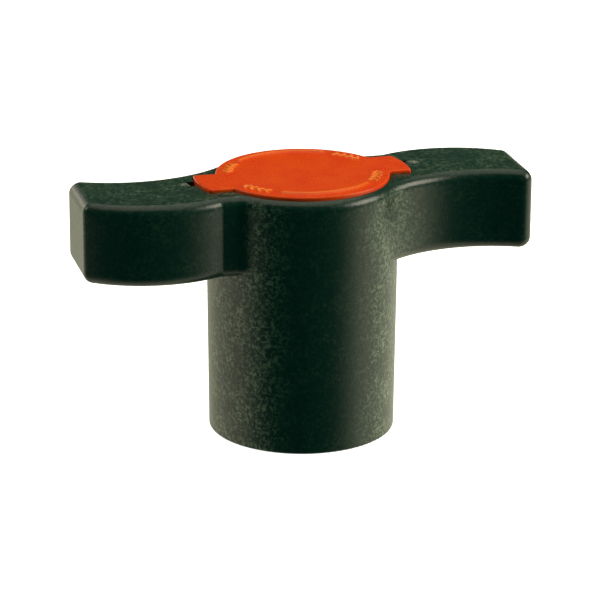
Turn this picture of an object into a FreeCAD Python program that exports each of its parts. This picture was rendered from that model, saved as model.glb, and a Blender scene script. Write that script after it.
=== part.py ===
import FreeCAD, Part
import math
import os

# Wing handle of a small plastic ball valve.
#
# The handle is one moulding: a tall round hub that drops over the valve's neck, and two short
# arms that curve the same way round, so that the plan is a shallow S. A coloured insert lies
# flush in the top. It is the key for the valve's seat carrier, and it also covers the screw
# that holds the handle on the stem. It is pried up at the notch beyond each of its two tabs.
#
# Frame: millimetres, +Z up the valve stem, +X along the right arm. The origin is the centre
# of the hub's bottom rim. The plan is the same after half a turn about Z, but for the notches.

# ---- Handle, overall ----
HANDLE_LENGTH = 80.0      # from end face to end face
HANDLE_HEIGHT = 45.4      # from the hub's rim to the flat top

# ---- Arms ----
ARM_WIDTH = 16.0          # width of the flat end faces
ARM_DEPTH = 14.3          # from the flat top to the arms' underside
HOLLOW_FLANK_R = 21.8     # flank that runs tangentially off the hub
CROWN_FLANK_R = 21.7      # flank that bulges outward
CROWN_INSET = 13.8        # from the end face back to where the crowned flank is widest
ROOT_ANGLE = 40.0         # degrees from +X, where the short flat at the root leaves the hub
ROOT_R = 1.0              # hollow between that flat and the crowned flank
HUB_ROOT_R = 3.0          # hollow between that flat and the hub
HOLLOW_TIP_R = 1.8        # upright corner between the hollow flank and the end face
CROWN_TIP_R = 0.9         # upright corner between the crowned flank and the end face
TOP_EDGE_R = 2.0
BOTTOM_EDGE_R = 2.0
ARM_WALL = 2.6            # flanks and end wall around the cores in the underside
ARM_SKIN = 3.0            # top skin over the cores
CORE_RIBS = 2             # cross ribs in each arm
CORE_RIB_WIDTH = 1.6
CORE_CORNER_R = 0.8

# ---- Hub ----
HUB_R = 16.65             # at the arms
HUB_DRAFT = 0.35          # how much smaller the radius is at the bottom rim
HUB_RIM_EDGE_R = 0.4
SKIRT_WALL = 3.0          # wall of the skirt at the rim
SKIRT_LEAD = 0.4          # chamfer at the mouth of the skirt
NECK_DEPTH = 12.0         # how far the valve's neck goes up into the skirt
NECK_SHOULDER = 0.5       # step that the neck stops against
HUB_RIBS = 6              # radial ribs between the stem boss and the skirt
HUB_RIB_WIDTH = 1.8
HUB_RIB_DROP = 1.0        # how far the ribs stop above the foot of the boss

# ---- Stem socket, a round stem with two flats ----
STEM_R = 6.2
STEM_FLATS = 8.4          # across the flats
STEM_CLEARANCE = 0.1
BOSS_WALL = 2.6
WEB_THICKNESS = 3.0       # floor between the stem socket and the key chamber

# ---- Insert ----
CAP_RIM = 1.4             # rim of the hub that is left round the insert
CAP_THICKNESS = 2.8
CAP_PROUD = 0.55          # how far the insert stands above the handle's top
CAP_EDGE_R = 0.35
CAP_CLEARANCE = 0.15      # gap all round the insert
CAP_SEAT_GAP = 0.05       # gap under the insert
TAB_LENGTH = 3.9          # how far the tabs reach past the disc
TAB_LOW = -2.7            # lower side of the right tab
TAB_HIGH = 6.6            # upper side of the right tab
TAB_CORNER_R = 1.0
RING_INSET = 2.8          # from the disc's edge to the inside of the raised bead
RING_WIDTH = 1.2
RING_RISE = 0.35
RING_START = 57.0         # degrees from +X, where the rear bead starts
RING_END = 138.0          # degrees from +X, where the rear bead ends
MARK_ANGLES = (40.0, 154.5)   # a group of chevrons at each end of each bead
MARK_COUNT = 4
MARK_PITCH = 6.5          # degrees from chevron to chevron
MARK_SIZE = 1.5           # radial height of a chevron
MARK_STROKE = 0.45
MARK_RISE = 0.25

# ---- Key lugs under the insert ----
LUG_INSET = 3.0           # from the disc's edge to the outside of the lugs
LUG_THICKNESS = 2.5
LUG_HALF_ANGLE = 22.0
LUG_LENGTH = 11.0
LUG_END_GAP = 2.9         # from the lugs' ends to the chamber's floor
LUG_CLEARANCE = 0.2       # radial gap between the lugs and the chamber
KEY_RIB_WIDTH = 2.4
KEY_RIB_DEPTH = 5.0

# ---- Pry notches in the handle's top, one beyond each tab ----
NOTCH_WIDTH = 2.6
NOTCH_LENGTH = 1.4
NOTCH_DEPTH = 1.0
NOTCH_SHIFT = 4.0         # degrees, both notches sit this far to the rear of the tab's middle

# ---- Fixing screw and its washer ----
SCREW_R = 2.5
SCREW_LENGTH = 10.0       # under the head
SCREW_HOLE_CLEARANCE = 0.25
HEAD_R = 4.75
HEAD_HEIGHT = 3.0
HEAD_EDGE_R = 1.2
SCREW_TIP_CHAMFER = 0.6
DRIVE_WIDTH = 1.1         # cross recess
DRIVE_LENGTH = 5.2
DRIVE_DEPTH = 1.8
WASHER_R = 6.0
WASHER_THICKNESS = 1.2
WASHER_CLEARANCE = 0.2

# ---- Heights and radii that follow ----
ARM_UNDERSIDE = HANDLE_HEIGHT - ARM_DEPTH
TIP_X = HANDLE_LENGTH / 2
CROWN_X = TIP_X - CROWN_INSET
HUB_RIM_R = HUB_R - HUB_DRAFT
SKIRT_R = HUB_RIM_R - SKIRT_WALL
UPPER_SKIRT_R = SKIRT_R - NECK_SHOULDER
CAP_R = HUB_R - CAP_RIM - CAP_CLEARANCE
CAP_TOP = HANDLE_HEIGHT + CAP_PROUD
CAP_UNDERSIDE = CAP_TOP - CAP_THICKNESS
RECESS_FLOOR = CAP_UNDERSIDE - CAP_SEAT_GAP
TAB_REACH = CAP_R + TAB_LENGTH
RING_INNER_R = CAP_R - RING_INSET
LUG_R = CAP_R - LUG_INSET
LUG_END = CAP_UNDERSIDE - LUG_LENGTH
CHAMBER_R = LUG_R + LUG_CLEARANCE
CHAMBER_FLOOR = LUG_END - LUG_END_GAP
SOCKET_TOP = CHAMBER_FLOOR - WEB_THICKNESS
SOCKET_R = STEM_R + STEM_CLEARANCE
SOCKET_FLATS = STEM_FLATS + 2 * STEM_CLEARANCE
BOSS_R = SOCKET_R + BOSS_WALL
SCREW_HOLE_R = SCREW_R + SCREW_HOLE_CLEARANCE
WASHER_TOP = CHAMBER_FLOOR + WASHER_THICKNESS
NOTCH_START = TAB_REACH + CAP_CLEARANCE
NOTCH_ANGLE = math.degrees(math.asin((TAB_LOW + TAB_HIGH) / 2 / TAB_REACH))
CORE_START_R = NOTCH_START + NOTCH_LENGTH + ARM_WALL / 2

PAST = 1.0                # how far a cutter runs past the face that it opens
ORIGIN = FreeCAD.Vector(0, 0, 0)
UP = FreeCAD.Vector(0, 0, 1)


def point(x, y, z=0.0):
    return FreeCAD.Vector(x, y, z)


def polar(radius, degrees):
    angle = math.radians(degrees)
    return point(radius * math.cos(angle), radius * math.sin(angle))


def cylinder(radius, low, high):
    return Part.makeCylinder(radius, high - low, point(0, 0, low))


def cone(low_radius, high_radius, low, high):
    return Part.makeCone(low_radius, high_radius, high - low, point(0, 0, low))


def box(x_range, y_range, z_range):
    corner = point(x_range[0], y_range[0], z_range[0])
    sides = [span[1] - span[0] for span in (x_range, y_range, z_range)]
    return Part.makeBox(*sides, corner)


def line(start, end):
    return Part.makeLine(start, end)


def arc(centre, start, end):
    """The shorter arc about a centre from one point to another."""
    towards = (start - centre) + (end - centre)
    middle = centre + towards * ((start - centre).Length / towards.Length)
    return Part.Arc(start, middle, end).toShape()


def turned(shape, degrees):
    copy = shape.copy()
    copy.rotate(ORIGIN, UP, degrees)
    return copy


def prism(edges, low, high):
    face = Part.Face(Part.Wire(edges))
    face.translate(point(0, 0, low))
    return face.extrude(point(0, 0, high - low))


def circle_crossing(centre_a, radius_a, centre_b, radius_b, side):
    """Where two circles cross, left (+1) or right (-1) of the line from a to b."""
    across = centre_b - centre_a
    gap = across.Length
    along = (radius_a ** 2 - radius_b ** 2 + gap ** 2) / (2 * gap)
    off = math.sqrt(radius_a ** 2 - along ** 2)
    unit = across / gap
    return centre_a + unit * along + point(-unit.y, unit.x) * (off * side)


def half_turn_outline(right_half):
    """Edges of a closed outline from its right half and the same half turned by 180 degrees.

    The right half is a list of (centre, start, end), with no centre for a straight edge.
    """
    edges = []
    for sign in (1, -1):
        for centre, start, end in right_half:
            if centre is None:
                edges.append(line(start * sign, end * sign))
            else:
                edges.append(arc(centre * sign, start * sign, end * sign))
    return edges


def wing_outline():
    """Plan of the hub and both arms.

    The hollow flank touches the hub's circle and ends at the tip. The crowned flank ends at
    the tip's other corner. Between it and the hub lies a short flat, parallel to the side of
    the insert's tab, with a small hollow at each end.
    """
    tip_low = point(TIP_X, -ARM_WIDTH / 2)
    tip_high = point(TIP_X, ARM_WIDTH / 2)
    hollow = circle_crossing(ORIGIN, HOLLOW_FLANK_R + HUB_R, tip_low, HOLLOW_FLANK_R, -1)
    crown_drop = math.sqrt(CROWN_FLANK_R ** 2 - CROWN_INSET ** 2)
    crown = point(CROWN_X, ARM_WIDTH / 2 - crown_drop)
    hollow_on_hub = hollow * (HUB_R / hollow.Length)
    flat = HUB_R * math.sin(math.radians(ROOT_ANGLE))
    hub_level = flat + HUB_ROOT_R
    crown_level = flat + ROOT_R
    out = math.sqrt((HUB_R + HUB_ROOT_R) ** 2 - hub_level ** 2)
    by_hub = point(out, hub_level)
    back = math.sqrt((CROWN_FLANK_R + ROOT_R) ** 2 - (crown_level - crown.y) ** 2)
    by_crown = point(crown.x - back, crown_level)
    root_on_hub = by_hub * (HUB_R / by_hub.Length)
    to_root = by_crown - crown
    root_on_crown = crown + to_root * (CROWN_FLANK_R / to_root.Length)
    flat_start = point(by_crown.x, flat)
    flat_end = point(by_hub.x, flat)
    return half_turn_outline([
        (None, tip_low, tip_high),
        (crown, tip_high, root_on_crown),
        (by_crown, root_on_crown, flat_start),
        (None, flat_start, flat_end),
        (by_hub, flat_end, root_on_hub),
        (ORIGIN, root_on_hub, hollow_on_hub * -1),
        (hollow * -1, hollow_on_hub * -1, tip_low * -1),
    ])


def rounded_wing():
    """The wing as a slab, with its top, bottom and upright tip edges rounded in one go."""
    slab = prism(wing_outline(), ARM_UNDERSIDE, HANDLE_HEIGHT)
    document = FreeCAD.newDocument("wing")
    base = document.addObject("Part::Feature", "slab")
    base.Shape = slab
    rounding = document.addObject("Part::Fillet", "rounding")
    rounding.Base = base
    radii = []
    for number, edge in enumerate(slab.Edges, 1):
        first = edge.Vertexes[0].Point
        last = edge.Vertexes[-1].Point
        if abs(first.z - last.z) < 1e-6:
            on_top = first.z > (ARM_UNDERSIDE + HANDLE_HEIGHT) / 2
            radius = TOP_EDGE_R if on_top else BOTTOM_EDGE_R
            radii.append((number, radius, radius))
        elif abs(first.x) > TIP_X - 1e-6:
            radius = CROWN_TIP_R if first.x * first.y > 0 else HOLLOW_TIP_R
            radii.append((number, radius, radius))
    rounding.Edges = radii
    document.recompute()
    return rounding.Shape.copy()


def hub_post():
    """The hub, drafted from its rim up to where it meets the wing above the rounded edge."""
    meet = ARM_UNDERSIDE + BOTTOM_EDGE_R + 0.5
    post = cone(HUB_RIM_R, HUB_R, 0, meet)
    rim = [edge for edge in post.Edges if edge.BoundBox.ZMax < 1e-6]
    return post.makeFillet(HUB_RIM_EDGE_R, rim)


def skirt_cavity():
    """Space under the web: the neck bore, and above it the ring round the stem boss."""
    neck_bore = cylinder(SKIRT_R, -PAST, NECK_DEPTH)
    upper_skirt = cylinder(UPPER_SKIRT_R, NECK_DEPTH - PAST, SOCKET_TOP)
    lead = cone(SKIRT_R + SKIRT_LEAD, SKIRT_R, 0, SKIRT_LEAD)
    boss = cylinder(BOSS_R, NECK_DEPTH, SOCKET_TOP + PAST)
    rib = box(
        (BOSS_R - BOSS_WALL / 2, UPPER_SKIRT_R + SKIRT_WALL / 3),
        (-HUB_RIB_WIDTH / 2, HUB_RIB_WIDTH / 2),
        (NECK_DEPTH + HUB_RIB_DROP, SOCKET_TOP + PAST),
    )
    ribs = [turned(rib, number * 360 / HUB_RIBS + 180 / HUB_RIBS) for number in range(HUB_RIBS)]
    return neck_bore.fuse([upper_skirt, lead]).cut([boss] + ribs)


def stem_socket():
    """A round socket with two flats, which face +Y and -Y."""
    low = NECK_DEPTH - PAST
    round_part = cylinder(SOCKET_R, low, SOCKET_TOP)
    flats = box((-SOCKET_R, SOCKET_R), (-SOCKET_FLATS / 2, SOCKET_FLATS / 2), (low, SOCKET_TOP))
    return round_part.common(flats)


def cap_outline(grow):
    """Plan of the insert, a disc with a tab on each side, grown all round by one amount."""
    disc = CAP_R + grow
    reach = TAB_REACH + grow
    low = TAB_LOW - grow
    high = TAB_HIGH + grow
    disc_low = point(math.sqrt(disc ** 2 - low ** 2), low)
    disc_high = point(math.sqrt(disc ** 2 - high ** 2), high)
    tab_low = point(math.sqrt(reach ** 2 - low ** 2), low)
    tab_high = point(math.sqrt(reach ** 2 - high ** 2), high)
    return half_turn_outline([
        (None, disc_low, tab_low),
        (ORIGIN, tab_low, tab_high),
        (None, tab_high, disc_high),
        (ORIGIN, disc_high, disc_low * -1),
    ])


def pry_notches():
    """A scoop beyond each tab, deepest at the tab and sloping up from there."""
    slope = NOTCH_DEPTH / NOTCH_LENGTH
    start = NOTCH_START - PAST / 2
    end = NOTCH_START + NOTCH_LENGTH + PAST / 2
    top = HANDLE_HEIGHT + PAST / 2 * slope
    side = -NOTCH_WIDTH / 2
    corners = [
        point(start, side, HANDLE_HEIGHT - NOTCH_DEPTH),
        point(NOTCH_START, side, HANDLE_HEIGHT - NOTCH_DEPTH),
        point(end, side, top),
        point(start, side, top),
    ]
    face = Part.Face(Part.makePolygon(corners + corners[:1]))
    notch = face.extrude(point(0, NOTCH_WIDTH, 0))
    right = turned(notch, NOTCH_ANGLE + NOTCH_SHIFT)
    left = turned(notch, NOTCH_ANGLE + 180 - NOTCH_SHIFT)
    return [right, left]


def arm_cores():
    """Hollows in the underside of each arm, parted by cross ribs, with rounded corners."""
    inside = Part.Face(Part.Wire(wing_outline())).makeOffset2D(-ARM_WALL)
    core_end = TIP_X - ARM_WALL
    cell = (core_end - CORE_START_R - CORE_RIBS * CORE_RIB_WIDTH) / (CORE_RIBS + 1)
    low = ARM_UNDERSIDE - PAST
    high = HANDLE_HEIGHT - ARM_SKIN
    cores = []
    for number in range(CORE_RIBS + 1):
        start = CORE_START_R + number * (cell + CORE_RIB_WIDTH)
        strip = Part.makePlane(cell, HANDLE_LENGTH, point(start, -HANDLE_LENGTH / 2))
        opening = inside.common(strip).Faces[0]
        opening = opening.makeOffset2D(-CORE_CORNER_R).makeOffset2D(CORE_CORNER_R)
        opening.translate(point(0, 0, low))
        core = opening.extrude(point(0, 0, high - low))
        cores += [core, turned(core, 180)]
    return cores


def make_handle_body():
    cutters = [
        skirt_cavity(),
        stem_socket(),
        cylinder(SCREW_HOLE_R, SOCKET_TOP - PAST, CHAMBER_FLOOR + PAST),
        cylinder(CHAMBER_R, CHAMBER_FLOOR, HANDLE_HEIGHT),
        prism(cap_outline(CAP_CLEARANCE), RECESS_FLOOR, HANDLE_HEIGHT + PAST),
    ]
    outside = rounded_wing().fuse(hub_post())
    return outside.cut(cutters + pry_notches() + arm_cores())


def ring_sector(inner, outer, start, end, low, high):
    """Part of a flat ring between two angles in degrees, less than half a turn."""
    edges = [
        line(polar(inner, start), polar(outer, start)),
        arc(ORIGIN, polar(outer, start), polar(outer, end)),
        line(polar(outer, end), polar(inner, end)),
        arc(ORIGIN, polar(inner, end), polar(inner, start)),
    ]
    return prism(edges, low, high)


def chevron(angle, way):
    """A raised V on its side that points round the insert, on the line of the bead."""
    middle = RING_INNER_R + RING_WIDTH / 2
    half = MARK_SIZE / 2
    corners = [
        point(middle - half, 0),
        point(middle - half, MARK_STROKE * way),
        point(middle, (half + MARK_STROKE) * way),
        point(middle + half, MARK_STROKE * way),
        point(middle + half, 0),
        point(middle, half * way),
    ]
    edges = [line(a, b) for a, b in zip(corners, corners[1:] + corners[:1])]
    return turned(prism(edges, CAP_TOP - CAP_EDGE_R, CAP_TOP + MARK_RISE), angle)


def cap_marks():
    """A group of chevrons beyond each end of both beads, pointing away from the bead."""
    marks = []
    for half_turn in (0, 180):
        for group, way in zip(MARK_ANGLES, (-1, 1)):
            for number in range(MARK_COUNT):
                shift = (number - (MARK_COUNT - 1) / 2) * MARK_PITCH
                marks.append(chevron(group + shift + half_turn, way))
    return marks


def make_key_insert():
    plate = prism(cap_outline(0), CAP_UNDERSIDE, CAP_TOP)
    corners = [
        edge for edge in plate.Edges
        if edge.BoundBox.ZLength > CAP_THICKNESS / 2
        and math.hypot(edge.CenterOfMass.x, edge.CenterOfMass.y) > TAB_REACH - 1e-3
    ]
    plate = plate.makeFillet(TAB_CORNER_R, corners)
    top_edges = [edge for edge in plate.Edges if edge.BoundBox.ZMin > CAP_TOP - 1e-6]
    plate = plate.makeFillet(CAP_EDGE_R, top_edges)
    bead_outer = RING_INNER_R + RING_WIDTH
    bead_low = CAP_TOP - CAP_EDGE_R
    bead_top = CAP_TOP + RING_RISE
    bead = ring_sector(RING_INNER_R, bead_outer, RING_START, RING_END, bead_low, bead_top)
    bead_edges = [edge for edge in bead.Edges if edge.BoundBox.ZMin > bead_top - 1e-6]
    bead = bead.makeFillet(RING_RISE / 2, bead_edges)
    lug = ring_sector(
        LUG_R - LUG_THICKNESS, LUG_R, -LUG_HALF_ANGLE, LUG_HALF_ANGLE,
        LUG_END, CAP_UNDERSIDE + PAST,
    )
    rib_reach = LUG_R - LUG_THICKNESS / 2
    rib = box(
        (-rib_reach, rib_reach),
        (-KEY_RIB_WIDTH / 2, KEY_RIB_WIDTH / 2),
        (CAP_UNDERSIDE - KEY_RIB_DEPTH, CAP_UNDERSIDE + PAST),
    )
    pieces = [bead, turned(bead, 180), lug, turned(lug, 180), rib] + cap_marks()
    return plate.fuse(pieces).removeSplitter()


def make_stem_washer():
    ring = cylinder(WASHER_R, CHAMBER_FLOOR, WASHER_TOP)
    return ring.cut(cylinder(SCREW_R + WASHER_CLEARANCE, CHAMBER_FLOOR - PAST, WASHER_TOP + PAST))


def make_stem_screw():
    head = cylinder(HEAD_R, WASHER_TOP, WASHER_TOP + HEAD_HEIGHT)
    head_top = WASHER_TOP + HEAD_HEIGHT
    rim = [edge for edge in head.Edges if edge.BoundBox.ZMin > head_top - 1e-6]
    head = head.makeFillet(HEAD_EDGE_R, rim)
    tip = WASHER_TOP - SCREW_LENGTH
    shank = cylinder(SCREW_R, tip + SCREW_TIP_CHAMFER, WASHER_TOP + PAST)
    point_end = cone(SCREW_R - SCREW_TIP_CHAMFER, SCREW_R, tip, tip + SCREW_TIP_CHAMFER)
    slot = box(
        (-DRIVE_LENGTH / 2, DRIVE_LENGTH / 2),
        (-DRIVE_WIDTH / 2, DRIVE_WIDTH / 2),
        (head_top - DRIVE_DEPTH, head_top + PAST),
    )
    screw = head.fuse([shank, point_end]).removeSplitter()
    return screw.cut([slot, turned(slot, 90)])


NODES = {
    "handle_body": make_handle_body,
    "key_insert": make_key_insert,
    "stem_screw": make_stem_screw,
    "stem_washer": make_stem_washer,
}

os.makedirs("parts", exist_ok=True)
for name, make in NODES.items():
    shape = make()
    shape.exportStep("parts/" + name + ".step")
    size = shape.BoundBox
    print(name, "valid", shape.isValid(), "solids", len(shape.Solids),
          "volume", round(shape.Volume, 1),
          "size", round(size.XLength, 2), round(size.YLength, 2), round(size.ZLength, 2))
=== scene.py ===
# %% [markdown]
# Wing handle of a small plastic ball valve.
# The handle is one black moulding of glass-filled polypropylene: a tall hub with two arms that
# curve the same way round. A satin orange insert, which is also a key, lies in its top, and
# under it a steel screw with a washer holds the handle on the valve's stem.
# The CAD model gives every size and place, so the lesson starts by loading it.

# %% Load the frame
import math

import bpy
import numpy as np
from mathutils import Matrix, Vector


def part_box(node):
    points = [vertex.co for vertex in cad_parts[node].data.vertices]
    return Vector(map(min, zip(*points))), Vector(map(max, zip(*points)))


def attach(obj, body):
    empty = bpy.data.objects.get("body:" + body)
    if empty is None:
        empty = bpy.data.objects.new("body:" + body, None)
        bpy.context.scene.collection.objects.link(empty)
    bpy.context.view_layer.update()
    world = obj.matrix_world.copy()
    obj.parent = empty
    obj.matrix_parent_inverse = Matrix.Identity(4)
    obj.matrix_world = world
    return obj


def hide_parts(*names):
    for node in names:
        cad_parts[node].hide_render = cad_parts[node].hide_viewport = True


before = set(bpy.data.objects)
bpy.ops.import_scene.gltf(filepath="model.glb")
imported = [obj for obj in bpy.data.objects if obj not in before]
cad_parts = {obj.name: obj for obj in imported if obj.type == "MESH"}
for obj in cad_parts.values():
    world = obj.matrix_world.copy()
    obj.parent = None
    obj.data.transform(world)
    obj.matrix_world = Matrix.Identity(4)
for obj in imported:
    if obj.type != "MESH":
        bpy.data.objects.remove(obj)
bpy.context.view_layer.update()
MM = 0.001

# %% [markdown]
# Colours are easiest to note down as the sRGB hex values that a screen shows, but shaders work
# in linear light, so one function turns the first into the second. A second helper adds a node,
# sets its inputs and links them, so that each material reads as a short list of steps. Patterns
# are given by the real size of one grain, which `per_mm` turns into a texture scale: a Noise
# texture of scale 1 has one cell per metre, because Object coordinates are in metres.

# %% Colour and node helpers


def linear(hex_colour):
    """sRGB hex to linear RGBA: each channel is divided by 12.92 near black, and elsewhere
    raised to the power 2.4 after the standard offset."""
    channels = [int(hex_colour[i:i + 2], 16) / 255 for i in (1, 3, 5)]
    rgb = [c / 12.92 if c <= 0.04045 else ((c + 0.055) / 1.055) ** 2.4 for c in channels]
    return (*rgb, 1.0)


def per_mm(size):
    """Texture scale for a pattern whose cells are `size` millimetres across."""
    return 1 / (size * MM)


def add(tree, kind, settings=None, **inputs):
    """Adds a node. Settings are its properties. Inputs are its sockets, by name with _ for a
    space or by number as _0, and a value that is another node's output is linked."""
    node = tree.nodes.new(kind)
    for name, value in (settings or {}).items():
        setattr(node, name, value)
    for name, value in inputs.items():
        socket = node.inputs[int(name[1:])] if name[1:].isdigit() else node.inputs[name.replace("_", " ")]
        if isinstance(value, bpy.types.NodeSocket):
            tree.links.new(value, socket)
        else:
            socket.default_value = value
    return node


def new_material(name):
    """An empty material, its node tree, and the place on the object in metres."""
    material = bpy.data.materials.new(name)
    material.use_nodes = True
    tree = material.node_tree
    tree.nodes.clear()
    return material, tree, add(tree, "ShaderNodeTexCoord").outputs["Object"]


print("black is", linear("#000000"), "and one 2 mm cell is scale", per_mm(2))

# %% [markdown]
# Glass-filled polypropylene, injection moulded. The pigment is black with a green cast. Short
# glass fibres lie just under the skin and come to it in places, which gives the moulding its
# look: pale grey-green streaks half a millimetre wide, in clouds a few millimetres across, on a
# skin that is satin rather than glossy. The pale streaks are painted only where the side screens
# and the lamps light the handle: on the hub's sides, at the roots and ends of the arms, and on
# the flat top, while the broad flanks that face the dark gap in front stay clean. The fibre is
# real, but where it shows is painted light. Two noises make the streaks: a fine one, distorted,
# and a coarse one that says where the fibres crowd together. The streaks are mostly a change of
# colour, with very little relief, and glass so near the skin also makes it shine a little more.
# A painted image would first need the whole moulding unwrapped, and noise on Object coordinates
# doesn't. A pale grey patch is painted at the far end of each notch beyond the insert's tabs,
# where the notch's lip catches the light: it is a painted highlight.

# %% Body plastic
FIBRE = 0.60          # mm, width of a fibre streak
FIBRE_CLOUD = 4.0     # mm, patches where more fibres reach the skin
NOTCH_HIGHLIGHT_GRAIN = 0.35        # mm, grain of the painted highlight patches in the notches
NOTCH_HIGHLIGHT_PLACES = ((20.9, 3.6, 45.2), (-20.9, -0.7, 45.2))   # mm, the far ends of the notches
NOTCH_HIGHLIGHT_REACH = 1.4     # mm, how far the painted highlight spreads from there

material, tree, place = new_material("glass_filled_polypropylene_black")
fibre = add(tree, "ShaderNodeTexNoise", None, Vector=place, Scale=per_mm(FIBRE), Detail=2.0,
            Roughness=0.55, Distortion=0.8)
cloud = add(tree, "ShaderNodeTexNoise", None, Vector=place, Scale=per_mm(FIBRE_CLOUD), Detail=3.0,
            Roughness=0.6)
crowd = add(tree, "ShaderNodeMapRange", None, Value=cloud.outputs["Fac"],
            From_Min=0.34, From_Max=0.62, To_Min=0.25, To_Max=1.0)
streak = add(tree, "ShaderNodeMapRange", None, Value=fibre.outputs["Fac"],
             From_Min=0.45, From_Max=0.66, To_Min=0.0, To_Max=1.0)

# The streaks are painted only where light falls. Faces that look along X, towards the side
# screens, or up, towards the lamp overhead, show more fibre than the broad flanks that look along
# Y, towards the dark gap, and past 20 mm from the axis a flank has to look further along X to
# show any. This mask is painted light.
facing = add(tree, "ShaderNodeSeparateXYZ", None, Vector=add(tree, "ShaderNodeTexCoord").outputs["Normal"])
along_x = add(tree, "ShaderNodeMath", {"operation": "ABSOLUTE"}, _0=facing.outputs["X"])
position = add(tree, "ShaderNodeSeparateXYZ", None, Vector=place)
far_out = add(tree, "ShaderNodeMath", {"operation": "ABSOLUTE"}, _0=position.outputs["X"])
far_out_cut = add(tree, "ShaderNodeMapRange", None, Value=far_out.outputs[0],
            From_Min=20 * MM, From_Max=28 * MM, To_Min=0.0, To_Max=0.42)
turned = add(tree, "ShaderNodeMath", {"operation": "SUBTRACT"}, _0=along_x.outputs[0], _1=far_out_cut.outputs[0])
lit_sides = add(tree, "ShaderNodeMapRange", {"interpolation_type": "SMOOTHSTEP"}, Value=turned.outputs[0],
            From_Min=0.28, From_Max=0.80, To_Min=0.10, To_Max=1.0)
lit_tops = add(tree, "ShaderNodeMapRange", None, Value=facing.outputs["Z"],
           From_Min=0.90, From_Max=1.0, To_Min=0.0, To_Max=0.50)
shown = add(tree, "ShaderNodeMath", {"operation": "MAXIMUM"}, _0=lit_sides.outputs[0], _1=lit_tops.outputs[0])
near_skin = add(tree, "ShaderNodeMath", {"operation": "MULTIPLY"}, _0=crowd.outputs[0], _1=streak.outputs[0])
# Real fibre streaks, kept only on the lit faces: where they show is painted light.
fibre_and_painted_light = add(tree, "ShaderNodeMath", {"operation": "MULTIPLY"}, _0=near_skin.outputs[0], _1=shown.outputs[0])
skin = add(tree, "ShaderNodeMix", {"data_type": "RGBA"}, _0=fibre_and_painted_light.outputs[0],
           _6=linear("#00261D"), _7=linear("#6E8468"))

# The distance is measured to both notches, and the nearer one counts.
gaps = []
for notch_end in NOTCH_HIGHLIGHT_PLACES:
    centre = tuple(v * MM for v in notch_end)
    gaps.append(add(tree, "ShaderNodeVectorMath", {"operation": "DISTANCE"}, _0=place, _1=centre))
nearest = add(tree, "ShaderNodeMath", {"operation": "MINIMUM"},
              _0=gaps[0].outputs["Value"], _1=gaps[1].outputs["Value"])
near = add(tree, "ShaderNodeMapRange", None, Value=nearest.outputs[0],
           From_Min=0.2 * MM, From_Max=NOTCH_HIGHLIGHT_REACH * MM, To_Min=1.0, To_Max=0.0)
# A pale grey patch, broken up by noise, is painted where each notch's lip catches the light: a painted
# highlight.
highlight_grain = add(tree, "ShaderNodeTexNoise", None, Vector=place, Scale=per_mm(NOTCH_HIGHLIGHT_GRAIN), Detail=2.0,
              Distortion=1.0)
highlight_patches = add(tree, "ShaderNodeMapRange", None, Value=highlight_grain.outputs["Fac"],
           From_Min=0.42, From_Max=0.62, To_Min=0.0, To_Max=0.8)
notch_highlight = add(tree, "ShaderNodeMath", {"operation": "MULTIPLY"}, _0=near.outputs[0], _1=highlight_patches.outputs[0])
colour = add(tree, "ShaderNodeMix", {"data_type": "RGBA"}, _0=notch_highlight.outputs[0],
             _6=skin.outputs[2], _7=linear("#B9B9B2"))

# Gloss and shine follow the same lit-face mask.
gloss = add(tree, "ShaderNodeMapRange", None, Value=fibre_and_painted_light.outputs[0],
            From_Min=0.0, From_Max=1.0, To_Min=0.30, To_Max=0.40)
sheen = add(tree, "ShaderNodeMapRange", None, Value=fibre_and_painted_light.outputs[0],
            From_Min=0.0, From_Max=0.8, To_Min=0.40, To_Max=0.74)
relief = add(tree, "ShaderNodeBump", None, Strength=1.0, Distance=0.02 * MM,
             Height=fibre.outputs["Fac"])
shader = add(tree, "ShaderNodeBsdfPrincipled", None, Base_Color=colour.outputs[2],
             Roughness=gloss.outputs[0], Normal=relief.outputs[0], IOR=1.49,
             Specular_IOR_Level=sheen.outputs[0])
add(tree, "ShaderNodeOutputMaterial", None, Surface=shader.outputs[0])
body_plastic = material
print(material.name, "has", len(tree.nodes), "nodes")

# %% [markdown]
# Orange polypropylene, injection moulded in a polished tool. It is brighter and glossier than
# the body, and its colour is strong because the pigment is dense. What gives it life is small:
# flow marks a few millimetres across that turn the colour a little to yellow or red, and a fine
# grain that breaks up the reflections. The raised marks, and the beads a little, carry a painted
# highlight: they are painted lighter where they catch the light. How much is a number from 0 to 1
# at each point of the plate, worked out with the relief.

# %% Insert plastic
FLOW_MARK = 4.0       # mm
GRAIN = 0.3           # mm

material, tree, place = new_material("moulded_polypropylene_orange")
flow = add(tree, "ShaderNodeTexNoise", None, Vector=place, Scale=per_mm(FLOW_MARK), Detail=4.0,
           Roughness=0.65, Distortion=0.6)
grain = add(tree, "ShaderNodeTexNoise", None, Vector=place, Scale=per_mm(GRAIN), Detail=2.0)
tint = add(tree, "ShaderNodeMapRange", None, Value=flow.outputs["Fac"],
           From_Min=0.35, From_Max=0.65, To_Min=0.0, To_Max=1.0)
colour = add(tree, "ShaderNodeMix", {"data_type": "RGBA"}, _0=tint.outputs[0],
             _6=linear("#E43C02"), _7=linear("#EC4C03"))
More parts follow.
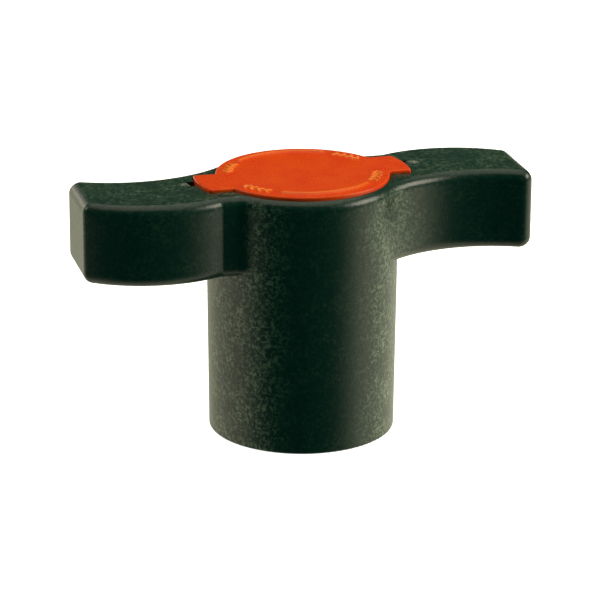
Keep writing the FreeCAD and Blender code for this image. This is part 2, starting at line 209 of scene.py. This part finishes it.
# The raised marks and beads are painted lighter and yellower where they catch the light: a painted
# highlight.
painted_highlight = add(tree, "ShaderNodeAttribute", {"attribute_name": "painted_highlight"})
colour = add(tree, "ShaderNodeMix", {"data_type": "RGBA"}, _0=painted_highlight.outputs["Fac"],
             _6=colour.outputs[2], _7=linear("#FF9A30"))
gloss = add(tree, "ShaderNodeMapRange", None, Value=grain.outputs["Fac"],
            From_Min=0.3, From_Max=0.7, To_Min=0.24, To_Max=0.36)
relief = add(tree, "ShaderNodeBump", None, Strength=0.6, Distance=0.01 * MM, Height=grain.outputs["Fac"])
shader = add(tree, "ShaderNodeBsdfPrincipled", None, Base_Color=colour.outputs[2],
             Roughness=gloss.outputs[0], Normal=relief.outputs[0], IOR=1.49, Specular_IOR_Level=0.22)
add(tree, "ShaderNodeOutputMaterial", None, Surface=shader.outputs[0])
insert_plastic = material
print(material.name, "has", len(tree.nodes), "nodes")

# %% [markdown]
# Stainless steel, turned and rolled. The lathe leaves fine rings about the axis, so the pattern
# reads the distance from Z and the height, not a plain direction. Real tool marks are about
# 0.05 mm apart, too fine to show, and they are drawn at 0.18 mm. An anisotropic shader would
# stretch the highlights, but it has no marks to see close up.

# %% Steel
TOOL_MARK = 0.18      # mm
STAIN = 3.0           # mm, patches of a slightly different tone

material, tree, place = new_material("stainless_steel_turned")
flat = add(tree, "ShaderNodeVectorMath", {"operation": "MULTIPLY"}, _0=place, _1=(1.0, 1.0, 0.0))
radius = add(tree, "ShaderNodeVectorMath", {"operation": "LENGTH"}, _0=flat.outputs[0])
height = add(tree, "ShaderNodeSeparateXYZ", None, Vector=place)
across = add(tree, "ShaderNodeCombineXYZ", None, X=radius.outputs["Value"], Y=height.outputs["Z"], Z=0.0)
rings = add(tree, "ShaderNodeTexNoise", None, Vector=across.outputs[0], Scale=per_mm(TOOL_MARK), Detail=2.0)
stain = add(tree, "ShaderNodeTexNoise", None, Vector=place, Scale=per_mm(STAIN), Detail=3.0)
colour = add(tree, "ShaderNodeMix", {"data_type": "RGBA"}, _0=stain.outputs["Fac"],
             _6=linear("#A7A59F"), _7=linear("#C9C9C6"))
gloss = add(tree, "ShaderNodeMapRange", None, Value=rings.outputs["Fac"],
            From_Min=0.3, From_Max=0.7, To_Min=0.2, To_Max=0.4)
relief = add(tree, "ShaderNodeBump", None, Strength=0.7, Distance=0.01 * MM, Height=rings.outputs["Fac"])
shader = add(tree, "ShaderNodeBsdfPrincipled", None, Base_Color=colour.outputs[2], Metallic=1.0,
             Roughness=gloss.outputs[0], Normal=relief.outputs[0])
add(tree, "ShaderNodeOutputMaterial", None, Surface=shader.outputs[0])
steel = material
print(material.name, "has", len(tree.nodes), "nodes")

# %% [markdown]
# The black moulding. Its arcs, rounded edges, bores and cores are exact in the CAD model, which
# was tessellated finely enough to show no facets, so the CAD node stays and only takes on its
# plastic. A new mesh could only make the fits worse.

# %% Handle body
body_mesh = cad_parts["handle_body"].data
body_mesh.materials.clear()
body_mesh.materials.append(body_plastic)
print("handle_body keeps its", len(body_mesh.polygons), "faces and gets", body_plastic.name)

# %% [markdown]
# Every new piece here is one closed skin over a grid: rows of points that go from one pole to
# the other, each row a closed ring round the piece. The helper joins each row to the next with
# quads, closes both ends with a fan of triangles on a single point, and hands the arrays to the
# mesh in one go. The rows run anticlockwise seen from above and the first pole is at the bottom,
# so that the faces point outwards. Ready-made cylinders and boxes would have to be joined and
# cut, which leaves seams, and a grid has none.

# %% A closed skin from rings of points


def closed_skin(name, rings, material, body):
    """Mesh from an array of rings, shape (rows, columns, 3), in millimetres. The first and the
    last ring are joined to their own mean points. Point (r, c) is number r * columns + c."""
    rows, columns, _ = rings.shape
    poles = np.array([rings[0].mean(axis=0), rings[-1].mean(axis=0)])
    points = np.vstack([rings.reshape(-1, 3), poles]) * MM
    here = np.arange(columns)
    after = (here + 1) % columns
    low = np.arange(rows - 1)[:, None] * columns
    quads = np.stack([low + here, low + after, low + columns + after, low + columns + here], axis=-1)
    first = np.stack([after, here, np.full(columns, rows * columns)], axis=-1)
    top = (rows - 1) * columns
    last = np.stack([top + here, top + after, np.full(columns, rows * columns + 1)], axis=-1)
    mesh = bpy.data.meshes.new(name)
    faces = quads.reshape(-1, 4).tolist() + first.tolist() + last.tolist()
    mesh.from_pydata(points.tolist(), [], faces)
    mesh.polygons.foreach_set("use_smooth", np.ones(len(mesh.polygons), dtype=bool))
    mesh.materials.append(material)
    mesh.update()
    piece = bpy.data.objects.new(name, mesh)
    bpy.context.scene.collection.objects.link(piece)
    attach(piece, body)
    print(name, "has", len(faces), "faces and rides on", body)
    return piece


def smoothstep(t):
    """0 below 0, 1 above 1, and 3t^2 - 2t^3 between."""
    t = np.clip(t, 0, 1)
    return t * t * (3 - 2 * t)


# %% [markdown]
# The insert's plate. Its outline is a disc with a tab on each side, and its top carries two
# raised beads and four groups of raised chevrons. A mould gives all of these soft flanks, and
# the soft flanks are what catches the light, so they are part of the surface here, not separate
# strips set on top. The outline comes first: in polar form it is one radius for each angle, the
# larger of the disc's and the tab's. A short running mean along it rounds the corners, as the
# mould's cutter did.

# %% Outline of the insert
key_low, key_high = (np.array(corner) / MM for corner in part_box("key_insert"))
BEAD_RISE = 0.35
PLATE_THICKNESS = 2.8
PLATE_TOP = key_high[2] - BEAD_RISE
PLATE_BOTTOM = PLATE_TOP - PLATE_THICKNESS
DISC_R = 15.1
TAB_REACH = 19.0
TAB_LOW, TAB_HIGH = -2.7, 6.6        # sides of the right tab, in Y
TAB_SECTOR = 60.0                    # degrees to either side of X, wider than any tab
CORNER = 0.7                         # about the radius of the rounded corners
OUTLINE_STEPS = 12000                # along the outline while it is being softened
PLATE_COLUMNS = 1000


def key_outline(columns):
    """Closed outline of the insert. At angle a the tab's radius is its reach, or less where a
    side of it at height y cuts the ray at y / sin(a). The corners are softened by a mean over
    a window, and the points are then spread evenly along the length."""
    angle = np.linspace(0, 2 * np.pi, 2 * OUTLINE_STEPS, endpoint=False)
    turn = np.where(np.abs(angle - np.pi) < np.pi / 2, angle - np.pi, angle)
    turn = np.where(turn > np.pi, turn - 2 * np.pi, turn)
    rise = np.where(np.abs(np.sin(turn)) < 1e-6, 1e-6, np.sin(turn))
    side = np.where(rise > 0, TAB_HIGH / rise, TAB_LOW / rise)
    radius = np.maximum(DISC_R, np.minimum(TAB_REACH, side))
    radius = np.where(np.abs(turn) < np.radians(TAB_SECTOR), radius, DISC_R)
    line = np.stack([radius * np.cos(angle), radius * np.sin(angle)], axis=-1)
    line = evenly(line, OUTLINE_STEPS)
    length = np.linalg.norm(np.diff(line, axis=0, append=line[:1]), axis=1).sum()
    reach = int(CORNER / length * OUTLINE_STEPS)
    window = np.hanning(2 * reach + 3)[1:-1]
    padded = np.concatenate([line[-reach:], line, line[:reach]])
    soft = np.stack([np.convolve(padded[:, k], window / window.sum(), "valid") for k in (0, 1)], axis=-1)
    return evenly(soft, columns)


def evenly(line, count):
    """The closed line with `count` points at equal steps along its length."""
    closed = np.vstack([line, line[:1]])
    along = np.concatenate([[0], np.cumsum(np.linalg.norm(np.diff(closed, axis=0), axis=1))])
    steps = np.linspace(0, along[-1], count, endpoint=False)
    return np.stack([np.interp(steps, along, closed[:, k]) for k in (0, 1)], axis=-1)


outline = key_outline(PLATE_COLUMNS)
ahead = np.roll(outline, -1, axis=0) - np.roll(outline, 1, axis=0)
outward = np.stack([ahead[:, 1], -ahead[:, 0]], axis=-1)
outward /= np.linalg.norm(outward, axis=1, keepdims=True)
print("outline spans", outline.min(axis=0).round(2), "to", outline.max(axis=0).round(2), "mm")

# %% [markdown]
# The relief on the plate is a height for each point (x, y). Across a bead, the height is a
# squared cosine, which is level at the crown and at both feet, and it fades out round the bead
# at both ends. A chevron is two strokes that meet in a point. Its height follows the distance
# to the nearer stroke. The chevrons are plain direction marks and stand for nothing else.

# %% Relief on the insert
BEAD_MIDDLE = 12.9
BEAD_HALF = 0.80                     # half the bead's width at its feet
BEAD_START, BEAD_END = 57.0, 138.0   # degrees from +X, rear bead
BEAD_FADE = 4.0                      # degrees over which a bead's ends run out
MARK_GROUPS = ((40.0, -1), (154.5, 1))   # angle of a group, and which way it points
MARK_COUNT = 4
MARK_PITCH = 6.5                     # degrees
MARK_RISE = 0.25
MARK_HALF = 0.75                     # half a chevron's radial height
MARK_LENGTH = 0.75                   # from its open side to its point
STROKE_HALF = 0.34
BEAD_HIGHLIGHT = 0.45                   # how much painted highlight the beads get, where a mark gets 1


def stroke_distance(x, y, start, end):
    """Distance from each point to the stroke from start to end: the point's foot on the
    stroke's line is kept between the two ends."""
    run = np.subtract(end, start)
    t = ((x - start[0]) * run[0] + (y - start[1]) * run[1]) / (run @ run)
    t = np.clip(t, 0, 1)
    return np.hypot(x - start[0] - t * run[0], y - start[1] - t * run[1])


def plate_relief(x, y):
    """Height of the plate's top above its flat, and how much painted highlight it gets, for arrays
    x and y. Both are the same after half a turn, so the lower half is turned on to the upper one."""
    flip = np.where(y < 0, -1.0, 1.0)
    x, y = x * flip, y * flip
    radius = np.hypot(x, y)
    angle = np.degrees(np.arctan2(y, x))
    across = np.clip((radius - BEAD_MIDDLE) / BEAD_HALF, -1, 1)
    end_fade = smoothstep((angle - BEAD_START) / BEAD_FADE) * smoothstep((BEAD_END - angle) / BEAD_FADE)
    bead = BEAD_RISE * np.cos(across * np.pi / 2) ** 2 * end_fade
    mark = np.zeros_like(bead)
    for group, way in MARK_GROUPS:
        for number in range(MARK_COUNT):
            a = math.radians(group + (number - (MARK_COUNT - 1) / 2) * MARK_PITCH)
            out = x * math.cos(a) + y * math.sin(a) - BEAD_MIDDLE
            round_it = (y * math.cos(a) - x * math.sin(a)) * way
            tip = (0.0, MARK_LENGTH)
            arms = [stroke_distance(out, round_it, (end, 0.0), tip) for end in (-MARK_HALF, MARK_HALF)]
            nearer = np.minimum(*arms)
            mark = np.maximum(mark, smoothstep(1 - nearer / STROKE_HALF))
    # The raised marks, and the beads less, get the painted highlight where they catch the light.
    painted_highlight = np.maximum(mark, BEAD_HIGHLIGHT * (bead / BEAD_RISE) ** 2)
    return np.maximum(bead, MARK_RISE * mark), painted_highlight


probe, _ = plate_relief(np.array([0.0, 0.0]), np.array([BEAD_MIDDLE, 5.0]))
print("height on the bead and beside it:", probe.round(3))

# %% [markdown]
# Now the plate as a closed skin. From the middle of the underside the rings go out to the
# edge, up the wall, round the top edge and back in over the top. Inside a fixed circle they are
# round, close together under the relief. Outside it each ring is a blend of that circle and the
# outline, so that the rings open out into the tabs. The plate is one moulding with its marks, so
# the painted highlight on its raised relief is a number kept on its points and not a separate piece.

# %% Insert plate
TOP_EDGE = 0.35
BOTTOM_EDGE = 0.2
INNER_R = 14.35                      # outside this, rings blend towards the outline
RELIEF_START = 11.95                 # inside this the top has no relief
RELIEF_STEP = 0.085                  # between rings under the relief
MIDDLE_R = 0.4                       # the innermost ring, round the pole
SINK = 0.12                          # the shallow dish that cooling leaves in the middle
SINK_R = 11.5

direction = outline / np.linalg.norm(outline, axis=1, keepdims=True)


def flat_rings(radii, inset, blends):
    """Rings of (x, y): circles of the given radii, then blends from the circle INNER_R to the
    outline moved in by `inset`."""
    rim = outline - outward * inset
    circles = [direction * radius for radius in radii]
    return circles + [direction * INNER_R * (1 - t) + rim * t for t in blends]


def edge_rings(radius, level, way, steps):
    """Rings round an edge: a quarter circle of that radius, above (way 1) or below (way -1)
    the level of its centre, from the wall to the flat side."""
    turn = np.linspace(0, np.pi / 2, steps)
    rim = outline[None] - outward[None] * (radius * (1 - np.cos(turn)))[:, None, None]
    z = np.broadcast_to((level + way * radius * np.sin(turn))[:, None, None], (*rim.shape[:2], 1))
    return np.concatenate([rim, z], axis=-1)


fine = np.arange(RELIEF_START, INNER_R, RELIEF_STEP)
coarse = np.linspace(MIDDLE_R, RELIEF_START - 0.15, 10)
top_flat = np.array(flat_rings(np.concatenate([coarse, fine]), TOP_EDGE, np.linspace(0, 0.96, 9)))
top_x, top_y = top_flat[..., 0], top_flat[..., 1]
top_radius = np.hypot(top_x, top_y)
dish = -SINK * np.clip(1 - (top_radius / SINK_R) ** 2, 0, 1)
relief_height, highlight_there = plate_relief(top_x, top_y)
top_z = PLATE_TOP + relief_height + dish
top = np.concatenate([top_flat, top_z[..., None]], axis=-1)
under_flat = np.array(flat_rings([MIDDLE_R, 6.0, 12.0], BOTTOM_EDGE, [0.0, 0.5, 0.96]))
under = np.concatenate([under_flat, np.full((*under_flat.shape[:2], 1), PLATE_BOTTOM)], axis=-1)
low_edge = edge_rings(BOTTOM_EDGE, PLATE_BOTTOM + BOTTOM_EDGE, -1, 4)[::-1]
high_edge = edge_rings(TOP_EDGE, PLATE_TOP - TOP_EDGE, 1, 7)
plate_rings = np.concatenate([under, low_edge, high_edge, top[::-1]])
plate = closed_skin("key_plate", plate_rings, insert_plastic, "key")
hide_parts("key_insert")

# The two poles come last, and neither gets the painted highlight.
highlight_values = np.zeros(plate_rings.shape[:2])
highlight_values[-len(top):] = highlight_there[::-1]
attribute = plate.data.attributes.new("painted_highlight", "FLOAT", "POINT")
attribute.data.foreach_set("value", np.concatenate([highlight_values.ravel(), [0.0, 0.0]]))
print("rubbed points:", int((highlight_values > 0.5).sum()))

# %% [markdown]
# Under the plate are the key's working parts: two curved lugs that turn the valve's seat
# carrier, and a cross rib that stiffens the plate between them. Each is a rounded rectangle
# carried along a path, an arc for a lug and a straight line for the rib. The section shrinks
# over the last 0.4 mm at both ends, which rounds them, and the top runs a little way into the
# plate, as on the one real moulding. A bevelled box would do for the rib but not for the curved
# lugs, so all three are carried by the same helper.

# %% Lugs and rib of the key


def rounded_section(width, height, corner, steps=5):
    """Closed rounded rectangle about (0, 0), anticlockwise: four quarter circles, whose
    centres are the rectangle's corners moved in by the corner radius."""
    turn = np.linspace(0, np.pi / 2, steps)
    quarters = []
    for number, (sx, sy) in enumerate(((1, 1), (-1, 1), (-1, -1), (1, -1))):
        a = turn + number * np.pi / 2
        centre = (sx * (width / 2 - corner), sy * (height / 2 - corner))
        quarters.append(np.stack([centre[0] + corner * np.cos(a), centre[1] + corner * np.sin(a)], axis=-1))
    return np.concatenate(quarters)


def carried(section, place, sideways, inset):
    """Rings of a section carried along a path. Point (s, h) of the section, moved in by
    inset(t), lands at place(t) + s * sideways(t) + h * up."""
    size = np.abs(section).max(axis=0)
    shrunk = section[None] * (1 - inset[:, None, None] / size)
    flat = place[:, None, :2] + shrunk[..., :1] * sideways[:, None, :]
    z = place[:, None, 2:] + shrunk[..., 1:]
    return np.concatenate([flat, z], axis=-1)


def end_inset(along, length, radius):
    """How far the section is moved in near both ends of a path, so that they are rounded:
    radius minus the half chord of a circle of that radius."""
    gap = np.clip(radius - np.minimum(along, length - along), 0, radius)
    return radius - np.sqrt(np.clip(radius ** 2 - gap ** 2, 0, None))


def end_steps(length, radius, middle):
    """Places along a path, close together over the rounded ends."""
    curve = radius * (1 - np.cos(np.linspace(0, np.pi / 2, 6)))
    return np.concatenate([curve, np.linspace(radius, length - radius, middle)[1:-1], length - curve[::-1]])


LUG_R = 12.1                         # outside of the lugs
LUG_THICKNESS = 2.5
LUG_HALF_ANGLE = 22.0                # degrees
LUG_BURIED = 0.5                     # how much of the lugs and the rib is inside the plate
RIB_WIDTH = 2.4
RIB_DEPTH = 5.0
ROUND = 0.4                          # radius of the edges and of the rounded ends

lug_height = PLATE_BOTTOM - key_low[2] + LUG_BURIED
lug_middle = LUG_R - LUG_THICKNESS / 2
lug_length = 2 * math.radians(LUG_HALF_ANGLE) * lug_middle
along = end_steps(lug_length, ROUND, 24)
for name, start in (("key_lug_right", 0.0), ("key_lug_left", np.pi)):
    a = start + (along / lug_length - 0.5) * 2 * math.radians(LUG_HALF_ANGLE)
    outwards = np.stack([np.cos(a), np.sin(a)], axis=-1)
    level = np.full((len(a), 1), key_low[2] + lug_height / 2)
    path = np.concatenate([outwards * lug_middle, level], axis=-1)
    section = rounded_section(LUG_THICKNESS, lug_height, ROUND)[::-1]
    rings = carried(section, path, outwards, end_inset(along, lug_length, ROUND))
    closed_skin(name, rings, insert_plastic, "key")

rib_length = 2 * (LUG_R - LUG_THICKNESS / 2)
along = end_steps(rib_length, ROUND, 12)
rib_height = RIB_DEPTH + LUG_BURIED
path = np.stack([along - rib_length / 2, np.zeros_like(along),
                 np.full_like(along, PLATE_BOTTOM - RIB_DEPTH + rib_height / 2)], axis=-1)
sideways = np.broadcast_to(np.array([0.0, 1.0]), (len(along), 2))
section = rounded_section(RIB_WIDTH, rib_height, ROUND)
closed_skin("key_rib", carried(section, path, sideways, end_inset(along, rib_length, ROUND)),
            insert_plastic, "key")

# %% [markdown]
# The fixing screw. It is one skin round Z: up the rolled thread, out under the pan head, over
# its rounded side and in over the top. The thread's radius goes up and down along Z with the
# pitch, and the wave moves up one pitch in each turn, which makes it a helix. At the tip and
# under the head the thread runs out into the plain core. The cross recess is a height taken off
# the top of the head: it is deepest near the middle and its walls are steep but not upright, as
# a pressed recess is. Cutting a groove and a cross out of a plain screw with booleans would
# leave ragged edges where the thread runs out, and this way has none.

# %% Fixing screw
screw_low, screw_high = (np.array(corner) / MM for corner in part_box("stem_screw"))
SCREW_R = 2.5
THREAD_DEPTH = 0.42
THREAD_PITCH = 0.8
THREAD_RUNOUT = 0.8                  # over which the thread fades out at both ends
TIP_CHAMFER = 0.6
HEAD_HEIGHT = 3.0
HEAD_R = 4.75
HEAD_EDGE = 1.2                      # radius round the head's top
RECESS_REACH = 2.6                   # from the axis to the end of an arm of the cross
RECESS_HALF = 0.55                   # half the width of an arm
RECESS_DEPTH = 1.8
RECESS_WALL = 0.22                   # width over which the sides of the cross drop
RECESS_SLOPE = 0.9                   # length over which the ends of the cross drop
HEAD_BEVEL = 0.15                    # under the head's rim
CROWN_ROWS = 44
CROWN_INNER_R = 0.05                 # the innermost ring, round the pole
SHANK_ROWS = 170
SCREW_COLUMNS = 160

turn = np.linspace(0, 2 * np.pi, SCREW_COLUMNS, endpoint=False)
seat = screw_high[2] - HEAD_HEIGHT


def thread_radius(z, angle):
    """SCREW_R less a rounded wave of THREAD_DEPTH, of one THREAD_PITCH along Z and one turn
    round Z, fading to the core at both ends, with the chamfer at the tip."""
    phase = 2 * np.pi * z / THREAD_PITCH - angle
    wave = smoothstep(0.5 - 0.5 * np.cos(phase))
    ends = smoothstep((z - screw_low[2]) / THREAD_RUNOUT) * smoothstep((seat - z) / THREAD_RUNOUT)
    radius = SCREW_R - THREAD_DEPTH + THREAD_DEPTH * wave * ends
    return np.minimum(radius, SCREW_R - TIP_CHAMFER + (z - screw_low[2]))


def lathe_rings(radii, heights):
    """Rings round Z: radii is one number or one row for each height."""
    radii = np.broadcast_to(np.asarray(radii, dtype=float).reshape(len(heights), -1),
                            (len(heights), SCREW_COLUMNS))
    z = np.broadcast_to(np.asarray(heights, dtype=float)[:, None], radii.shape)
    return np.stack([radii * np.cos(turn), radii * np.sin(turn), z], axis=-1)


def recess_depth(x, y):
    """Depth of the cross recess: full on the two arms, easing off over the wall's width at
    their sides and over a longer slope towards their ends."""
    depth = np.zeros_like(x)
    for out, side in ((np.abs(x), np.abs(y)), (np.abs(y), np.abs(x))):
        wall = smoothstep((RECESS_HALF - side) / RECESS_WALL + 0.5)
        slope = smoothstep((RECESS_REACH - out) / RECESS_SLOPE)
        depth = np.maximum(depth, wall * slope)
    return RECESS_DEPTH * depth


heights = np.linspace(screw_low[2], seat, SHANK_ROWS)
shank = lathe_rings(thread_radius(heights[:, None], turn[None]), heights)
under_head = lathe_rings(np.linspace(SCREW_R, HEAD_R - HEAD_BEVEL, 5), np.full(5, seat))
bevel = lathe_rings([HEAD_R], [seat + HEAD_BEVEL])
curve = np.linspace(0, np.pi / 2, 9)
side = lathe_rings(HEAD_R - HEAD_EDGE * (1 - np.cos(curve)), screw_high[2] - HEAD_EDGE * (1 - np.sin(curve)))
crown_radii = np.linspace(HEAD_R - HEAD_EDGE, CROWN_INNER_R, CROWN_ROWS)[1:]
crown = lathe_rings(crown_radii, np.full(len(crown_radii), screw_high[2]))
crown[..., 2] -= recess_depth(crown[..., 0], crown[..., 1])
screw = closed_skin("stem_screw_threaded", np.concatenate([shank, under_head, bevel, side, crown]),
                    steel, "handle")
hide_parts("stem_screw")

# %% [markdown]
# The washer is a ring stamped from sheet. A stamped edge is rounded on the side where the punch
# went in and sharp on the other, so its section has large radii above and small ones below. The
# section closes on itself and is carried round Z, which makes a ring without poles.

# %% Washer
washer_low, washer_high = (np.array(corner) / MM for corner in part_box("stem_washer"))
BORE_R = 2.7
PUNCH_ROUND = 0.3
BURR_ROUND = 0.06
WASHER_ROWS = 144                    # places round Z


def washer_section(steps=6):
    """Radius and height round the section, anticlockwise with the axis on the left: a quarter
    circle of its own radius for each corner, from the outer lower one."""
    turn = np.linspace(0, np.pi / 2, steps)
    outer, low, high = washer_high[0], washer_low[2], washer_high[2]
    corners = (
        (outer - BURR_ROUND, low + BURR_ROUND, BURR_ROUND, -np.pi / 2),
        (outer - PUNCH_ROUND, high - PUNCH_ROUND, PUNCH_ROUND, 0.0),
        (BORE_R + PUNCH_ROUND, high - PUNCH_ROUND, PUNCH_ROUND, np.pi / 2),
        (BORE_R + BURR_ROUND, low + BURR_ROUND, BURR_ROUND, np.pi),
    )
    return np.concatenate([
        np.stack([r + size * np.cos(turn + begin), z + size * np.sin(turn + begin)], axis=-1)
        for r, z, size, begin in corners
    ])


section = washer_section()
rows, columns = WASHER_ROWS, len(section)
angle = np.linspace(0, 2 * np.pi, rows, endpoint=False)[:, None]
points = np.stack([section[None, :, 0] * np.cos(angle), section[None, :, 0] * np.sin(angle),
                   np.broadcast_to(section[None, :, 1], (rows, columns))], axis=-1) * MM
row = np.arange(rows)[:, None]
column = np.arange(columns)[None]
here, across = row * columns + column, row * columns + (column + 1) % columns
onward = ((row + 1) % rows) * columns
faces = np.stack([here, onward + column, onward + (column + 1) % columns, across], axis=-1)
mesh = bpy.data.meshes.new("stem_washer_stamped")
mesh.from_pydata(points.reshape(-1, 3).tolist(), [], faces.reshape(-1, 4).tolist())
mesh.polygons.foreach_set("use_smooth", np.ones(len(mesh.polygons), dtype=bool))
mesh.materials.append(steel)
mesh.update()
washer = bpy.data.objects.new("stem_washer_stamped", mesh)
bpy.context.scene.collection.objects.link(washer)
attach(washer, "handle")
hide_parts("stem_washer")
print("stem_washer_stamped has", len(mesh.polygons), "faces")

# %% [markdown]
# The floor is plain white paper. It gives off light of its own, so that it stays evenly pale,
# and it keeps out of the plastic's reflections, which then come from the studio round it and not
# from an endless white sheet.

# %% Floor
FLOOR_WIDTH = 4.0                    # m
bpy.ops.mesh.primitive_plane_add(size=FLOOR_WIDTH, location=(0, 0, 0))
floor = bpy.context.object
floor.name = "floor"
material, tree, _ = new_material("floor_paper")
shader = add(tree, "ShaderNodeBsdfPrincipled", None, Base_Color=linear("#F4F4F4"), Roughness=0.9,
             Emission_Color=(1, 1, 1, 1), Emission_Strength=0.95)
add(tree, "ShaderNodeOutputMaterial", None, Surface=shader.outputs[0])
floor.data.materials.append(material)
for ray in ("visible_diffuse", "visible_glossy", "visible_transmission", "visible_shadow"):
    setattr(floor, ray, False)
print("floor laid at z = 0")

# %% [markdown]
# The studio's lamps. Satin black plastic shows little but what it reflects, so the light is
# arranged as for product work, with four soft boxes: a broad weak one overhead for the flat
# tops, a strong one high on the right, which draws the bright line along the rounded edges, a
# small one high on the left for the left arm's corner, and a low strip behind, which outlines
# the insert's bead. Bare points of light would leave hard dots on a satin surface, so each lamp
# is a rectangle. Its power grows with its area, which keeps the brightness of its face.

# %% Soft boxes
FRONT_AZIMUTH = -14.4                # degrees, where the camera stands
LAMP_AIM = np.array([0, 0, 0.03])    # m, half way up the handle
LAMP_DISTANCE = 0.5                  # m


def softbox(name, turn, elevation, width, height, radiance):
    """A rectangular area light that faces the handle, turned from the camera's side by `turn`
    degrees, positive to the right. Its power is its radiance times pi times its area."""
    a, e = math.radians(FRONT_AZIMUTH + turn), math.radians(elevation)
    away = np.array([math.sin(a) * math.cos(e), -math.cos(a) * math.cos(e), math.sin(e)])
    lamp = bpy.data.lights.new(name, "AREA")
    lamp.shape = "RECTANGLE"
    lamp.size = width
    lamp.size_y = height
    lamp.energy = radiance * math.pi * width * height
    lamp.color = (1.0, 0.93, 0.76)
    holder = bpy.data.objects.new(name, lamp)
    bpy.context.scene.collection.objects.link(holder)
    holder.location = LAMP_AIM + away * LAMP_DISTANCE
    holder.rotation_euler = Vector(away).to_track_quat("Z", "Y").to_euler()
    print(name, "is", width, "by", height, "m and gives", round(lamp.energy, 2), "W")


softbox("overhead_softbox", 180, 80, 0.6, 0.6, 1.38)
softbox("right_softbox", 88, 33, 0.31, 0.20, 9.5)
softbox("left_softbox", -95, 38, 0.14, 0.14, 8.0)
softbox("rear_strip", -145, 8, 0.30, 0.10, 2.0)

# %% [markdown]
# The studio's screens. Bright low screens stand at both sides and behind, with a dark gap in
# front, so that the faces towards the camera stay deep. They could be lit planes, but planes end
# somewhere and their edges show in the plastic. They are painted into the world instead, as
# smooth steps of two angles, round the handle and up from the horizon. Rays that come straight
# from the camera see plain white.

# %% Screens
SCREEN = (1.0, 0.96, 0.71)           # low screens at the sides and behind, slightly warm
SCREEN_LEFT, SCREEN_BEHIND, SCREEN_RIGHT = 1.1, 0.65, 1.7
CEILING = (0.030, 0.060, 0.040, 1.0)
FRONT_GAP = (0.000, 0.090, 0.075, 1.0)

world = bpy.data.worlds.new("studio")
bpy.context.scene.world = world
world.use_nodes = True
tree = world.node_tree
tree.nodes.clear()
ray = add(tree, "ShaderNodeTexCoord").outputs["Generated"]
turn_in = math.radians(FRONT_AZIMUTH)
front = (math.sin(turn_in), -math.cos(turn_in), 0.0)
rightward = (math.cos(turn_in), math.sin(turn_in), 0.0)
facing = add(tree, "ShaderNodeVectorMath", {"operation": "DOT_PRODUCT"}, _0=ray, _1=front)
gap = add(tree, "ShaderNodeMapRange", {"interpolation_type": "SMOOTHSTEP"},
          Value=facing.outputs["Value"], From_Min=0.15, From_Max=0.70, To_Min=0.0, To_Max=1.0)
sideward = add(tree, "ShaderNodeVectorMath", {"operation": "DOT_PRODUCT"}, _0=ray, _1=rightward)
left_half = add(tree, "ShaderNodeMapRange", None, Value=sideward.outputs["Value"],
                From_Min=-1.0, From_Max=0.0, To_Min=SCREEN_LEFT, To_Max=SCREEN_BEHIND)
right_half = add(tree, "ShaderNodeMapRange", None, Value=sideward.outputs["Value"],
                 From_Min=0.0, From_Max=1.0, To_Min=0.0, To_Max=SCREEN_RIGHT - SCREEN_BEHIND)
power = add(tree, "ShaderNodeMath", {"operation": "ADD"}, _0=left_half.outputs[0], _1=right_half.outputs[0])
lit = add(tree, "ShaderNodeVectorMath", {"operation": "SCALE"}, _0=SCREEN, Scale=power.outputs[0])
climb = add(tree, "ShaderNodeSeparateXYZ", None, Vector=ray)
above = add(tree, "ShaderNodeMapRange", {"interpolation_type": "SMOOTHSTEP"},
            Value=climb.outputs["Z"], From_Min=-0.12, From_Max=0.2, To_Min=0.0, To_Max=1.0)
screens = add(tree, "ShaderNodeMix", {"data_type": "RGBA"}, _0=above.outputs[0],
              _6=lit.outputs["Vector"], _7=CEILING)
room = add(tree, "ShaderNodeMix", {"data_type": "RGBA"}, _0=gap.outputs[0],
           _6=screens.outputs[2], _7=FRONT_GAP)
seen = add(tree, "ShaderNodeLightPath").outputs["Is Camera Ray"]
shown = add(tree, "ShaderNodeMix", {"data_type": "RGBA"}, _0=seen, _6=room.outputs[2], _7=(1, 1, 1, 1))
backdrop = add(tree, "ShaderNodeBackground", None, Color=shown.outputs[2], Strength=1.0)
add(tree, "ShaderNodeOutputWorld", None, Surface=backdrop.outputs[0])
print("the studio has", len(tree.nodes), "nodes")

# %% [markdown]
# The camera stands a little to the left of the handle and looks slightly down on it, through a
# long lens, which keeps the hub's sides almost parallel. Its three axes are worked out from the
# azimuth and elevation, and a small roll levels the picture. The Standard view transform shows
# the colours as they were noted down, without a film curve.

# %% Camera
FOCAL_MM = 185.0
SENSOR_MM = 36.0
DISTANCE = 0.540                     # m
AZIMUTH, ELEVATION, ROLL = -14.43, 18.82, 0.29
LOOK_SIDE, LOOK_UP = -0.31 * MM, 22.64 * MM

a, e, r = (math.radians(v) for v in (AZIMUTH, ELEVATION, ROLL))
right = np.array([math.cos(a), math.sin(a), 0])
back = np.array([math.sin(a) * math.cos(e), -math.cos(a) * math.cos(e), math.sin(e)])
up = np.cross(back, right)
axes = np.eye(4)
axes[:3, 0] = math.cos(r) * right + math.sin(r) * up
axes[:3, 1] = math.cos(r) * up - math.sin(r) * right
axes[:3, 2] = back
axes[:3, 3] = right * LOOK_SIDE + np.array([0, 0, LOOK_UP]) + back * DISTANCE
camera_data = bpy.data.cameras.new("camera")
camera_data.lens = FOCAL_MM
camera_data.sensor_width = SENSOR_MM
camera_data.clip_start = 0.01
camera = bpy.data.objects.new("camera", camera_data)
bpy.context.scene.collection.objects.link(camera)
camera.matrix_world = Matrix(axes.tolist())
bpy.context.scene.camera = camera
bpy.context.scene.view_settings.view_transform = "Standard"
print("camera at", axes[:3, 3].round(3), "m")
